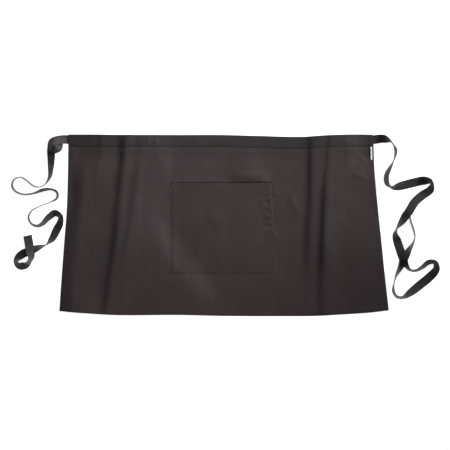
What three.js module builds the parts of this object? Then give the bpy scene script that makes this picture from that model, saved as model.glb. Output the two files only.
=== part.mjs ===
// A waist apron lying face up on a surface, as a flat lay: a hemmed A-line cloth panel, a waistband folded over
// its upper edge, a patch pocket with an open mouth, a flat woven tie at each end of the waistband and a blank label.
// Millimetres. +Z is up, +Y points to the waist, +X is the wearer's left as seen from above.
// The origin lies on the surface, under the middle of the apron without its ties.
import * as THREE from "three";

// Driving dimensions
const apronLength = 500; // from the top of the waistband to the hem, where it is longest
const hemWidth = 906;
const waistWidth = 838;
const waistShift = -9; // the waist lies a little to the left of the hem's middle
const waistDip = 6.6; // how far the waist edge sinks at its lowest
const hemRise = 16; // how far the hem's corners lie above its lowest stretch
const clothThickness = 1;
const turnedThickness = 0.8; // what a turned hem adds to the cloth
const layerGap = 0.3; // clearance between layers that touch
const sideHem = 12;
const bottomHem = 15;
const foldHeight = 8.5; // the storage folds that stand up on both sides of the pocket
const foldSoftness = 5; // how gently the sides of a fold rise
const foldMargin = 20; // the cloth beside a fold that is modelled as finely as the fold
const foldStep = 7.5; // the spacing of the cloth's columns at a fold, and elsewhere
const columnStep = 21;
const plainRows = 11;
const hemStep = 1; // the width of the step where a hem's turned edge ends
const swellHeight = 3; // the low, broad waves between the folds

const bandMargin = 7; // the strip of the waistband that reaches below the ties
const bandEase = 34; // below the band the panel comes down to the surface over this length

const pocketWidth = 276; // at the mouth
const pocketFlare = 14; // how much wider the pocket's lower edge is
const pocketHeight = 249;
const pocketLeft = -147; // the left edge of the pocket
const pocketTop = 116; // the height of the mouth above the apron's middle
const pocketSeam = 10; // the strip that is sewn down along three edges
const pocketHem = 25; // the turned strip along the mouth
const pocketRoom = 11; // how far the mouth stands open
const pocketFade = 50; // the swells of the panel fade out over this distance from the pocket

const tapeWidth = 24;
const tapeThickness = 1;
const tapeRoot = 18; // how far a tie runs into the waistband
const curlRadius = 11; // the small curl in the left tie, beside the waistband
const curlOut = 36; // the place of its middle, beyond the waistband and below the tie's own level
const curlDown = 18;
const curlTurn = 400; // how far it turns, in degrees
const curlWidening = 3;
const curlLift = 11; // its first round lies on its second
const curlRoll = 38;
const curlStartRoll = 18;
const curlEndRoll = 16;
const curlSteps = 10;
const stepsPerRow = 2; // the steps between two rows of a tie's route

const labelWidth = 4.6;
const labelLength = 36;
const labelLift = 1.6; // its free edge stands off the hem
const labelBelowBand = 0.5;
const labelInset = 4.6; // from the panel's side edge

// How far each side has run out from the waist to the hem, as a share of its whole flare.
const sides = [
  { down: 0, left: 0, right: 0 },
  { down: 0.24, left: 0.07, right: 0.11 },
  { down: 0.42, left: 0.18, right: 0.3 },
  { down: 0.61, left: 0.46, right: 0.52 },
  { down: 0.81, left: 0.75, right: 0.75 },
  { down: 1, left: 1, right: 1 },
];
// The upper and lower edges from left to right, as shares of waistDip and hemRise.
const edges = [
  { across: 0, dip: 0, rise: 0.88 },
  { across: 0.07, dip: 0.03, rise: 0.54 },
  { across: 0.18, dip: 0.2, rise: 0.2 },
  { across: 0.36, dip: 0.24, rise: 0.22 },
  { across: 0.5, dip: 0.22, rise: 0.04 },
  { across: 0.62, dip: 0.6, rise: 0 },
  { across: 0.76, dip: 1, rise: 0.01 },
  { across: 0.85, dip: 0.35, rise: 0.27 },
  { across: 0.94, dip: 0.02, rise: 0.6 },
  { across: 1, dip: 0.1, rise: 1 },
];
// Each storage fold from the waist to the hem: where its two flanks stand, as shares of half the hem's width,
// and its height as a share of foldHeight.
const folds = [
  [
    { down: 0, left: -0.64, right: -0.525, height: 0.45 },
    { down: 0.3, left: -0.64, right: -0.535, height: 0.95 },
    { down: 0.46, left: -0.653, right: -0.565, height: 1 },
    { down: 0.64, left: -0.677, right: -0.58, height: 0.9 },
    { down: 1, left: -0.71, right: -0.625, height: 0.5 },
  ],
  [
    { down: 0, left: 0.519, right: 0.633, height: 0.5 },
    { down: 0.3, left: 0.519, right: 0.613, height: 1 },
    { down: 0.5, left: 0.514, right: 0.598, height: 1 },
    { down: 0.66, left: 0.51, right: 0.594, height: 0.85 },
    { down: 1, left: 0.512, right: 0.616, height: 0.3 },
  ],
];
// Low swells: the middle and reach as shares of half the hem's width and half the length, the turn in degrees
// and the height as a share of swellHeight.
const swells = [
  { across: -0.86, up: -0.05, reachX: 0.12, reachY: 0.9, turn: 0, height: 1 },
  { across: -0.42, up: -0.45, reachX: 0.07, reachY: 0.75, turn: 32, height: 0.9 },
  { across: 0.82, up: -0.2, reachX: 0.14, reachY: 0.75, turn: 0, height: 0.7 },
  { across: 0.43, up: 0.5, reachX: 0.07, reachY: 0.4, turn: -24, height: 0.8 },
];

// The ties' routes, by hand: out is beyond the waistband's end and down is below the tie's own level there.
// roll turns the tape about its run, 0 lying flat and 90 standing on edge, with the left edge up when positive.
// lift is the height of its lower edge over the surface.
const leftTieExit = [{ out: 15, down: 0, roll: 7, lift: 4 }];
const leftTieRoute = [
  { out: 47, down: 28.5, roll: 14, lift: 0 },
  { out: 47, down: 47.5, roll: 24, lift: 0 },
  { out: 47.5, down: 75.5, roll: 42, lift: 0 },
  { out: 50.5, down: 102.5, roll: 60, lift: 0 },
  { out: 61.5, down: 121.5, roll: 78, lift: 0 },
  { out: 78.5, down: 131, roll: 83, lift: 0 },
  { out: 94.5, down: 127.5, roll: 83, lift: 0 },
  { out: 113.5, down: 113, roll: 83, lift: 0 },
  { out: 131, down: 103.5, roll: 82, lift: 0 },
  { out: 148, down: 110, roll: 76, lift: 0 },
  { out: 154, down: 126.5, roll: 71, lift: 0 },
  { out: 145, down: 142, roll: 75, lift: 0 },
  { out: 122.5, down: 151, roll: 81, lift: 0 },
  { out: 94.5, down: 148, roll: 80, lift: 0 },
  { out: 69.5, down: 139, roll: 71, lift: 0 },
  { out: 46.5, down: 137, roll: 76, lift: 0 },
  { out: 30.5, down: 145.5, roll: 71, lift: 0 },
  { out: 30, down: 160.5, roll: 71, lift: 0 },
  { out: 49.5, down: 173, roll: 82, lift: 0 },
  { out: 79.5, down: 184, roll: 83, lift: 0 },
  { out: 101, down: 197.5, roll: 77, lift: 0 },
  { out: 108.5, down: 215.5, roll: 73, lift: 0 },
  { out: 100, down: 232, roll: 74, lift: 0 },
  { out: 84.5, down: 238, roll: 72, lift: 0 },
  { out: 70.5, down: 232, roll: 64, lift: 0 },
  { out: 53.5, down: 214, roll: 50, lift: 0 },
  { out: 36, down: 202.5, roll: 42, lift: 0 },
  { out: 20.5, down: 212, roll: 54, lift: 0 },
  { out: 22, down: 228.5, roll: 36, lift: 0 },
  { out: 32.5, down: 249.5, roll: 20, lift: 0 },
  { out: 44.5, down: 273.5, roll: 40, lift: 0 },
  { out: 61, down: 290, roll: 80, lift: 0 },
  { out: 80.5, down: 297.5, roll: 50, lift: 0 },
  { out: 101.5, down: 305, roll: 21, lift: 0 },
  { out: 129, down: 317, roll: 18, lift: 0 },
  { out: 143.5, down: 335.5, roll: 54, lift: 0 },
  { out: 133.5, down: 347.5, roll: 36, lift: 0 },
  { out: 119, down: 346, roll: 34, lift: 0 },
  { out: 107, down: 336.5, roll: 66, lift: 1 },
  { out: 100, down: 324.5, roll: 52, lift: 9 },
  { out: 103, down: 306.5, roll: 14, lift: 18.5 },
  { out: 107.5, down: 286.5, roll: 2, lift: 10 },
  { out: 112.5, down: 264, roll: 0, lift: 0.5 },
];
const rightTieRoute = [
  { out: 18.5, down: -2.5, roll: 14, lift: 1 },
  { out: 33.5, down: -1.5, roll: 38, lift: 0 },
  { out: 50, down: 7.5, roll: 88, lift: 0 },
  { out: 61, down: 27.5, roll: 76, lift: 0 },
  { out: 60, down: 42, roll: 80, lift: 0 },
  { out: 55, down: 58.5, roll: 88, lift: 0 },
  { out: 46, down: 76.5, roll: 72, lift: 0 },
  { out: 37, down: 94.5, roll: 62, lift: 0 },
  { out: 35, down: 110.5, roll: 60, lift: 0 },
  { out: 38, down: 121, roll: 63, lift: 0 },
  { out: 47.5, down: 130, roll: 78, lift: 0 },
  { out: 62.5, down: 129.5, roll: 40, lift: 0 },
  { out: 85.5, down: 124.5, roll: 8, lift: 0 },
  { out: 113.5, down: 117.5, roll: 4, lift: 0 },
  { out: 138.5, down: 112.5, roll: 14, lift: 0 },
  { out: 154.5, down: 113.5, roll: 58, lift: 0 },
  { out: 160.5, down: 123.5, roll: 70, lift: 0 },
  { out: 156.5, down: 137.5, roll: 34, lift: 0 },
  { out: 132.5, down: 154.5, roll: 14, lift: 3 },
  { out: 112.5, down: 172.5, roll: 16, lift: 9 },
  { out: 97, down: 196.5, roll: 20, lift: 16 },
  { out: 86.5, down: 211, roll: 26, lift: 12 },
  { out: 75.5, down: 228, roll: 52, lift: 3 },
  { out: 63, down: 246, roll: 84, lift: 0 },
  { out: 60.5, down: 259.5, roll: 60, lift: 0 },
  { out: 64.5, down: 276, roll: 26, lift: 2 },
  { out: 72.5, down: 303, roll: 10, lift: 14 },
  { out: 80.5, down: 326, roll: 18, lift: 14 },
  { out: 88, down: 344.5, roll: 52, lift: 5 },
  { out: 99.5, down: 357.5, roll: 76, lift: 0 },
  { out: 116, down: 359.5, roll: 70, lift: 0 },
  { out: 134, down: 350, roll: 58, lift: 0 },
  { out: 151, down: 337, roll: 52, lift: 0 },
  { out: 168.5, down: 337, roll: 62, lift: 0 },
  { out: 173, down: 355, roll: 46, lift: 0 },
  { out: 152.5, down: 379.5, roll: 10, lift: 0 },
  { out: 128, down: 399.5, roll: 10, lift: 0 },
  { out: 102, down: 420, roll: 38, lift: 0 },
  { out: 81.5, down: 433, roll: 72, lift: 0 },
  { out: 63, down: 430, roll: 70, lift: 0 },
  { out: 54.5, down: 413.5, roll: 66, lift: 0 },
  { out: 57, down: 392.5, roll: 79, lift: 0 },
  { out: 63, down: 371.5, roll: 68, lift: 0 },
  { out: 74, down: 350.5, roll: 44, lift: 0 },
  { out: 85.5, down: 325, roll: 12, lift: 0 },
  { out: 97.5, down: 302.5, roll: 46, lift: 0 },
  { out: 107.5, down: 286.5, roll: 68, lift: 0 },
  { out: 113.5, down: 268.5, roll: 77, lift: 0 },
  { out: 110.5, down: 249, roll: 72, lift: 0 },
  { out: 104, down: 229.5, roll: 72, lift: 0 },
  { out: 99.5, down: 213.5, roll: 71, lift: 0 },
  { out: 97.5, down: 203, roll: 66, lift: 0 },
];

// Shared helpers
const share = (value, from, to) => THREE.MathUtils.clamp((value - from) / (to - from), 0, 1);
const ease = (value, from, to) => THREE.MathUtils.smoothstep(value, Math.min(from, to), Math.max(from, to));
const flank = (distance) => 1 / (1 + Math.exp(-distance / foldSoftness));

// A column of a table at a place between its rows, on a smooth curve through them.
function read(table, key, column, at) {
  let row = 1;
  while (row < table.length - 1 && table[row][key] < at) row += 1;
  const slope = (i) => {
    const before = table[Math.max(i - 1, 0)];
    const after = table[Math.min(i + 1, table.length - 1)];
    return (after[column] - before[column]) / (after[key] - before[key]);
  };
  const [a, b] = [table[row - 1], table[row]];
  const span = b[key] - a[key];
  const t = share(at, a[key], b[key]);
  const [t2, t3] = [t * t, t * t * t];
  return (
    a[column] * (2 * t3 - 3 * t2 + 1) +
    b[column] * (3 * t2 - 2 * t3) +
    slope(row - 1) * span * (t3 - 2 * t2 + t) +
    slope(row) * span * (t3 - t2)
  );
}

// A closed wall over a grid: place(u, v, upper) gives a point of its lower face (0) or its upper face (1).
// The upper face looks up where u runs to +X and v to -Y.
function wall(us, vs, place) {
  const points = [];
  const faces = [];
  const across = vs.length;
  const layer = us.length * across;
  for (const upper of [0, 1]) for (const u of us) for (const v of vs) points.push(place(u, v, upper));
  const at = (i, j, upper) => upper * layer + i * across + j;
  const quad = (a, b, c, d) => faces.push(a, b, c, a, c, d);
  const [iEnd, jEnd] = [us.length - 1, across - 1];
  for (let i = 0; i < iEnd; i += 1)
    for (let j = 0; j < jEnd; j += 1) {
      quad(at(i, j, 1), at(i, j + 1, 1), at(i + 1, j + 1, 1), at(i + 1, j, 1));
      quad(at(i, j, 0), at(i + 1, j, 0), at(i + 1, j + 1, 0), at(i, j + 1, 0));
    }
  for (let i = 0; i < iEnd; i += 1) {
    quad(at(i, 0, 0), at(i, 0, 1), at(i + 1, 0, 1), at(i + 1, 0, 0));
    quad(at(i, jEnd, 0), at(i + 1, jEnd, 0), at(i + 1, jEnd, 1), at(i, jEnd, 1));
  }
  for (let j = 0; j < jEnd; j += 1) {
    quad(at(0, j, 0), at(0, j + 1, 0), at(0, j + 1, 1), at(0, j, 1));
    quad(at(iEnd, j, 0), at(iEnd, j, 1), at(iEnd, j + 1, 1), at(iEnd, j + 1, 0));
  }
  const geometry = new THREE.BufferGeometry().setFromPoints(points);
  geometry.setIndex(faces);
  geometry.computeVertexNormals();
  return geometry;
}

// The outline of the apron
const leftEdge = (down) =>
  waistShift - waistWidth / 2 + (-hemWidth / 2 - waistShift + waistWidth / 2) * read(sides, "down", "left", down);
const rightEdge = (down) =>
  waistShift + waistWidth / 2 + (hemWidth / 2 - waistShift - waistWidth / 2) * read(sides, "down", "right", down);
const upperEdge = (across) => apronLength / 2 - waistDip * Math.max(0, read(edges, "across", "dip", across));
const lowerEdge = (across) => -apronLength / 2 + hemRise * Math.max(0, read(edges, "across", "rise", across));
const downAt = (y) => share(y, apronLength / 2, -apronLength / 2);
const acrossAt = (x) => share(x, leftEdge(0), rightEdge(0));

// 0 under the pocket and 1 well away from it.
function besidePocket(x, y) {
  const outX = Math.max(pocketLeft - x, x - pocketLeft - pocketWidth - pocketFlare, 0);
  const outY = Math.max(y - pocketTop, pocketTop - pocketHeight - y, 0);
  return ease(Math.hypot(outX, outY), pocketSeam / 2, pocketFade);
}

// The height that the lowest layer of cloth has over the surface: the storage folds, and the swells that
// fade out where the pocket is sewn down.
function lie(x, y) {
  const down = downAt(y);
  const halfWidth = hemWidth / 2;
  let height = 0;
  for (const fold of folds) {
    const rise = flank(x - halfWidth * read(fold, "down", "left", down));
    const fall = flank(halfWidth * read(fold, "down", "right", down) - x);
    height += foldHeight * read(fold, "down", "height", down) * rise * fall;
  }
  for (const swell of swells) {
    const turn = THREE.MathUtils.degToRad(swell.turn);
    const dx = x / halfWidth - swell.across;
    const dy = (y / apronLength) * 2 - swell.up;
    const along = (dy * Math.cos(turn) - dx * Math.sin(turn)) / swell.reachY;
    const beside = (dx * Math.cos(turn) + dy * Math.sin(turn)) / swell.reachX;
    const inside = Math.max(0, 1 - along * along) * Math.max(0, 1 - beside * beside);
    height += swellHeight * swell.height * inside * inside * besidePocket(x, y);
  }
  return height;
}

// The waistband's fold, measured to the middle of its cloth, and its depth, which takes in a tie.
const bandSlot = Math.max(clothThickness, tapeThickness) + 2 * layerGap;
const bandRadius = (bandSlot + clothThickness) / 2;
const foldReach = bandRadius + clothThickness / 2;
const tapeInset = foldReach + layerGap + tapeWidth / 2; // from the band's upper edge to the middle of a tie
const bandDepth = tapeInset + tapeWidth / 2 + bandMargin;

// Under the waistband the panel lies on the band's back layer, and below the band it eases down.
const bandStep = clothThickness + layerGap;
const bandLower = (x) => upperEdge(acrossAt(x)) - bandDepth;
const panelUnder = (x, y) =>
  lie(x, y) + bandStep * ease(y, bandLower(x) - bandEase, bandLower(x) - 4 * layerGap);
const panelOver = (x, y) => panelUnder(x, y) + clothThickness;

// Panel
const panelInset = foldReach + 2 * layerGap;
const notchHeight = tapeInset + tapeWidth / 2 + 3 * layerGap;
const notchLength = tapeRoot + 6 * layerGap;

// How far a column of the cloth lies from the nearer end of the waistband.
const fromEnd = (across) => Math.min(across, 1 - across) * (rightEdge(0) - leftEdge(0));

// The columns that the panel and the waistband share, closer together at the storage folds.
function clothColumns() {
  const width = rightEdge(0) - leftEdge(0);
  const half = hemWidth / 2;
  const spans = folds.map((fold) => ({
    from: Math.min(...fold.map((row) => row.left)) * half - foldMargin,
    to: Math.max(...fold.map((row) => row.right)) * half + foldMargin,
  }));
  const ends = [0, sideHem, sideHem + hemStep, notchLength - layerGap, notchLength + layerGap];
  const places = ends.flatMap((end) => [end, width - end]);
  let place = notchLength + columnStep;
  while (place < width - notchLength - columnStep / 2) {
    places.push(place);
    const x = leftEdge(0) + place;
    const atFold = spans.some((span) => x > span.from && x < span.to);
    place += atFold ? foldStep : columnStep;
  }
  return places.sort((a, b) => a - b).map((at) => at / width);
}

// The rows of the panel: across the waistband, over the ease below it, down the cloth and over the lower hem.
function panelRows() {
  const underBand = [panelInset, notchHeight + layerGap, bandDepth + layerGap, bandDepth + bandEase / 2];
  const from = bandDepth + bandEase;
  const to = apronLength - bottomHem - hemStep;
  const plain = Array.from({ length: plainRows + 1 }, (_, i) => THREE.MathUtils.lerp(from, to, i / plainRows));
  const rows = [...underBand, ...plain, apronLength - bottomHem, apronLength];
  return rows.map((row) => share(row, panelInset, apronLength));
}

const columns = clothColumns();

const panel = wall(columns, panelRows(), (u, v, upper) => {
  const notched = v === 0 && fromEnd(u) < notchLength;
  const top = upperEdge(u) - (notched ? notchHeight : panelInset);
  const y = notched ? top : THREE.MathUtils.lerp(top, lowerEdge(u), v);
  const down = (upperEdge(u) - y) / (upperEdge(u) - lowerEdge(u));
  const x = THREE.MathUtils.lerp(leftEdge(down), rightEdge(down), u);
  const belowBand = y < bandLower(x) - bandEase / 3;
  const fromHem = (1 - v) * (apronLength - panelInset);
  const turned = belowBand && Math.min(fromEnd(u) - sideHem, fromHem - bottomHem) < hemStep / 2;
  const thickness = clothThickness + (turned ? turnedThickness : 0);
  return new THREE.Vector3(x, y, panelUnder(x, y) + upper * thickness);
});

// Waistband: one strip folded over the panel's upper edge, open at its ends.
// Its section runs from the back layer's lower edge, round the fold, to the front layer's lower edge.
const bandSection = [
  { down: bandDepth, turn: 0 },
  { down: bandDepth / 2, turn: 0 },
  { down: foldReach, turn: 0 },
  { down: foldReach, turn: 45 },
  { down: foldReach, turn: 90 },
  { down: foldReach, turn: 135 },
  { down: foldReach, turn: 180 },
  { down: bandDepth / 2, turn: 180 },
  { down: bandDepth, turn: 180 },
];

const waistband = wall(
  columns,
  bandSection.map((_, i) => i),
  (u, i, outer) => {
    const angle = THREE.MathUtils.degToRad(bandSection[i].turn);
    const radius = bandRadius + (outer - 0.5) * clothThickness;
    const y = upperEdge(u) - bandSection[i].down + radius * Math.sin(angle);
    const x = THREE.MathUtils.lerp(leftEdge(0), rightEdge(0), u);
    return new THREE.Vector3(x, y, lie(x, y) + foldReach - radius * Math.cos(angle));
  },
);

// Pocket: sewn down along three edges and arched up to its open mouth.
const seamAcross = pocketSeam / pocketWidth;
const seamDown = pocketSeam / pocketHeight;
const mouthHem = pocketHem / pocketHeight;
const archAcross = [0, 0.04, 0.1, 0.18, 0.28, 0.39, 0.5, 0.61, 0.72, 0.82, 0.9, 0.96, 1];
const archDown = [0.1, 0.21, 0.32, 0.43, 0.54, 0.66, 0.77, 0.89, 1];
const pocketUs = [0, ...archAcross.map((at) => THREE.MathUtils.lerp(seamAcross, 1 - seamAcross, at)), 1];
const pocketVs = [0, mouthHem - hemStep / pocketHeight,
  ...[0, ...archDown].map((at) => THREE.MathUtils.lerp(mouthHem, 1 - seamDown, at)), 1];

const pocket = wall(pocketUs, pocketVs, (u, v, upper) => {
  const y = pocketTop - pocketHeight * v;
  const x = pocketLeft + (pocketWidth + pocketFlare * v) * u;
  const inner = share(u, seamAcross, 1 - seamAcross) * 2 - 1;
  const deep = share(v, 0, 1 - seamDown);
  const arch = pocketRoom * (1 - inner ** 4) * (1 - deep * deep);
  const turned = v < mouthHem ? turnedThickness : 0;
  const under = panelOver(x, y) + layerGap + arch;
  return new THREE.Vector3(x, y, under + upper * (clothThickness + turned));
});

// Ties: flat tape along the route, flat at 0 and on edge at 90.
const tieLevel = (side) => upperEdge(side < 0 ? 0 : 1) - tapeInset;

function tie(side, rows) {
  const end = side < 0 ? leftEdge(0) : rightEdge(0);
  const level = tieLevel(side);
  const inside = { roll: 0, lift: foldReach - tapeThickness / 2, down: 0 };
  const straight = [-tapeRoot, 0, 2 * tapeThickness].map((out) => ({ out, ...inside }));
  const route = [...straight, ...rows];
  const places = new THREE.CatmullRomCurve3(
    route.map((row) => new THREE.Vector3(end + side * row.out, level - row.down, 0)),
  );
  const turns = new THREE.CatmullRomCurve3(
    route.map((row) => new THREE.Vector3(row.roll, row.lift, 0)),
    false,
    "catmullrom",
  );
  const steps = (route.length - 1) * stepsPerRow;
  const middles = [];
  const rolls = [];
  for (let i = 0; i <= steps; i += 1) {
    const point = places.getPoint(i / steps);
    const turn = turns.getPoint(i / steps);
    const roll = THREE.MathUtils.degToRad(turn.x);
    const halfHeight = (tapeWidth * Math.abs(Math.sin(roll)) + tapeThickness * Math.abs(Math.cos(roll))) / 2;
    point.z = Math.max(0, turn.y) + halfHeight;
    middles.push(point);
    rolls.push(roll);
  }
  const up = new THREE.Vector3(0, 0, 1);
  const index = middles.map((_, i) => i);
  return wall(index, [1, -1], (i, toLeft, upper) => {
    const run = middles[Math.min(i + 1, steps)].clone().sub(middles[Math.max(i - 1, 0)]).normalize();
    const level = up.clone().cross(run).normalize();
    const over = run.clone().cross(level);
    const width = level.multiplyScalar(Math.cos(rolls[i])).addScaledVector(over, Math.sin(rolls[i]));
    const normal = run.clone().cross(width);
    return middles[i]
      .clone()
      .addScaledVector(width, (toLeft * tapeWidth) / 2)
      .addScaledVector(normal, (upper - 0.5) * tapeThickness);
  });
}

// The curl beside the waistband: one turn and a bit, its inner edge up. It starts out flatter, and sinks under
// its own beginning.
function curl() {
  const rows = [];
  for (let i = 0; i <= curlSteps; i += 1) {
    const turned = (i / curlSteps) * curlTurn;
    const angle = THREE.MathUtils.degToRad(90 + turned);
    const fresh = 1 - ease(turned, 0, 90);
    const sunk = ease(turned, 170, 320);
    const leaving = ease(turned, 220, curlTurn);
    rows.push({
      out: curlOut - curlRadius * Math.cos(angle),
      down: curlDown - curlRadius * Math.sin(angle) - curlWidening * fresh,
      roll: curlRoll - (curlRoll - curlStartRoll) * fresh - (curlRoll - curlEndRoll) * leaving,
      lift: curlLift * (1 - sunk),
    });
  }
  return rows;
}

// Label: a blank flap caught in the right side hem just below the waistband.
const labelTop = upperEdge(1) - bandDepth - labelBelowBand;
const label = wall([0, 0.35, 0.7, 1], [0, 0.5, 1], (u, v, upper) => {
  const y = labelTop - labelLength * v;
  const x = rightEdge(downAt(y)) - labelInset - labelWidth * (1 - u);
  const hemTop = panelUnder(x, y) + clothThickness + turnedThickness;
  const curlUp = labelLift * (1 - u) ** 2;
  return new THREE.Vector3(x, y, hemTop + layerGap + curlUp + (upper * clothThickness) / 2);
});

// Materials
const cloth = (colour, roughness) => new THREE.MeshStandardMaterial({ color: colour, roughness, metalness: 0 });
const twill = cloth(0x3b3436, 0.85);
const band = cloth(0x373435, 0.85);
const tape = cloth(0x343233, 0.8);
const satin = cloth(0xe9e8e6, 0.6);

const apron = new THREE.Group();
function add(name, geometry, material) {
  const mesh = new THREE.Mesh(geometry, material);
  mesh.name = name;
  apron.add(mesh);
}
add("panel", panel, twill);
add("waistband", waistband, band);
add("pocket", pocket, twill);
add("tie_left", tie(-1, [...leftTieExit, ...curl(), ...leftTieRoute]), tape);
add("tie_right", tie(1, rightTieRoute), tape);
add("label", label, satin);

export default apron;
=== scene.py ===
"""A waist apron lying face up as a flat lay.

It has a cloth panel, a folded waistband, a patch pocket, two loose ties and a label. The tables and sizes
are in millimetres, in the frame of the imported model. Blender's objects are in metres.
"""
import bpy
import math
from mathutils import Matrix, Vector, noise


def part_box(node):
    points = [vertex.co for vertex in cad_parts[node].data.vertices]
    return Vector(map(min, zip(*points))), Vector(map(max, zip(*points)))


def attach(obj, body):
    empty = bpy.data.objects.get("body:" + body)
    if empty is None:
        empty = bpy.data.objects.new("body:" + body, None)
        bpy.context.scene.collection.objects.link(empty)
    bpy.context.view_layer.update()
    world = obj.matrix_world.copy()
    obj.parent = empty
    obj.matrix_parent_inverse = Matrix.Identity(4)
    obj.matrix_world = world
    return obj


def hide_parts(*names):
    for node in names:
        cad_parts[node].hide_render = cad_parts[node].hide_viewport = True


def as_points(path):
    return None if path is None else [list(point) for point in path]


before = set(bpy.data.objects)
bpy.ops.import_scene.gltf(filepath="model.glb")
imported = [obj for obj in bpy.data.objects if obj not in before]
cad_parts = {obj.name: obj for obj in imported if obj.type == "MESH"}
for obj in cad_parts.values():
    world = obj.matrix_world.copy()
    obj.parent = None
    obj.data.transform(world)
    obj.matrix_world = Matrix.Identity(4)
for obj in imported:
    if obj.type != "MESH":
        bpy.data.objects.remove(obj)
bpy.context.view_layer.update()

MM = 0.001

# Camera: straight above the apron, with the apron's top towards the top of the picture
CAMERA_OVER = (2.5, 0.8)
CAMERA_DISTANCE = 5000
VIEW_WIDTH = 1237.5
SENSOR = 36

# Light: a spot low and far on the upper right, a weaker lamp near the waist, and a faint even surround.
# The spot's cone is flattened, so that its soft pool of light on the floor is nearly round.
KEY_POWER = 14300
KEY_SIZE = 0.7
KEY_PLACE = (11.4, 5.0, 6.4)
KEY_AIM = (-0.08, 0.07, 0)
KEY_CONE = 6.4
KEY_FLAT = 0.5
TOP_POWER = 2.2
TOP_SIZE = 0.9
TOP_PLACE = (-0.1, 0.9, 0.8)
SURROUND = 0.05
FLOOR_SIZE = 12
FLOOR_GLOW = 0.93


# Sizes that the frame gives
def box_mm(node):
    low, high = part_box(node)
    return [value / MM for value in low], [value / MM for value in high]


PANEL_LOW, PANEL_HIGH = box_mm("panel")
BAND_LOW, BAND_HIGH = box_mm("waistband")
POCKET_LOW, POCKET_HIGH = box_mm("pocket")
LABEL_LOW, LABEL_HIGH = box_mm("label")
HALF_HEM = (PANEL_HIGH[0] - PANEL_LOW[0]) / 2
WAIST_LEFT = BAND_LOW[0]
WAIST_RIGHT = BAND_HIGH[0]
WAIST_WIDTH = WAIST_RIGHT - WAIST_LEFT
TOP = BAND_HIGH[1]
BOTTOM = PANEL_LOW[1]
LENGTH = TOP - BOTTOM

# Cloth
CLOTH = 1
GAP = 0.3
LAID = 0.06  # what is left between cloths that lie on each other
TURNED = 0.3
HEM_SIDE = 12
HEM_BOTTOM = 15
HEM_BELOW_BAND = (2, 9)  # the hems' relief starts over this stretch below the waistband
STITCH_INSET = 2  # from a hem's inner edge to its stitches
DIMPLE = 0.2  # how deep a row of stitches pulls the cloth in
DIMPLE_REACH = 1.3
EDGE_ROUND = 1.4
THINNEST = 0.12  # what is left of the cloth's thickness at a rounded edge
PUCKER_HEIGHT = 0.42  # the small ripples across a row of stitches
PUCKER_SIZE = 6.5
PUCKER_REACH = 9
WAIST_DIP = 6.6
HEM_RISE = 16
CELL = 3.7  # the spacing of the cloth's fine grid

# Waistband and ties
TAPE_WIDTH = 24
TAPE_THICKNESS = 1
TAPE_ROOT = 18
BAND_MARGIN = 7
BAND_EASE = 34
BAND_SLOT = CLOTH + 2 * GAP
BAND_RADIUS = (BAND_SLOT + CLOTH) / 2
FOLD_REACH = BAND_RADIUS + CLOTH / 2
TAPE_INSET = FOLD_REACH + GAP + TAPE_WIDTH / 2
BAND_DEPTH = TAPE_INSET + TAPE_WIDTH / 2 + BAND_MARGIN
BAND_ROWS = (2.2, 11)  # the two rows of stitches over the band's lower edge
BAND_END_ROW = 3  # from the band's ends to the stitches across them
BAND_PRESSED = 0.7  # how far the band's front layer is pressed down at its lower edge, and up to where
BAND_PRESS_REACH = 16

# Pocket
POCKET_LEFT = POCKET_LOW[0]
POCKET_TOP = POCKET_HIGH[1]
POCKET_FLARE = 14
POCKET_WIDTH = POCKET_HIGH[0] - POCKET_LEFT - POCKET_FLARE
POCKET_HEIGHT = POCKET_TOP - POCKET_LOW[1]
POCKET_SEAM = 10
POCKET_HEM = 25
POCKET_ROOM = 3
POCKET_ROW = 2  # from the pocket's edges to the stitches along them
POCKET_SECOND_ROW = 9.5  # from the pocket's lower edge to its second row
POCKET_SUNK_ROW = 0.22  # how far the right row sinks into the cloth
TACKS = (4.2, 5.4)  # from the side edges to the rows of a bar tack

# Label
LABEL_WIDTH = 4.6
LABEL_INSET = 4.6
LABEL_LIFT = 1.6
LABEL_THICKNESS = 0.45

# How far each side has run out from the waist to the hem, as a share of its whole flare
SIDES = [
    {"down": 0, "left": 0, "right": 0},
    {"down": 0.24, "left": 0.07, "right": 0.11},
    {"down": 0.42, "left": 0.18, "right": 0.3},
    {"down": 0.61, "left": 0.46, "right": 0.52},
    {"down": 0.81, "left": 0.75, "right": 0.75},
    {"down": 1, "left": 1, "right": 1},
]
# The upper and lower edges from left to right, as shares of WAIST_DIP and HEM_RISE
EDGES = [
    {"across": 0, "dip": 0, "rise": 0.88},
    {"across": 0.07, "dip": 0.03, "rise": 0.54},
    {"across": 0.18, "dip": 0.2, "rise": 0.2},
    {"across": 0.36, "dip": 0.24, "rise": 0.22},
    {"across": 0.5, "dip": 0.22, "rise": 0.04},
    {"across": 0.62, "dip": 0.6, "rise": 0},
    {"across": 0.76, "dip": 1, "rise": 0.01},
    {"across": 0.85, "dip": 0.35, "rise": 0.27},
    {"across": 0.94, "dip": 0.02, "rise": 0.6},
    {"across": 1, "dip": 0.1, "rise": 1},
]
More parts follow.
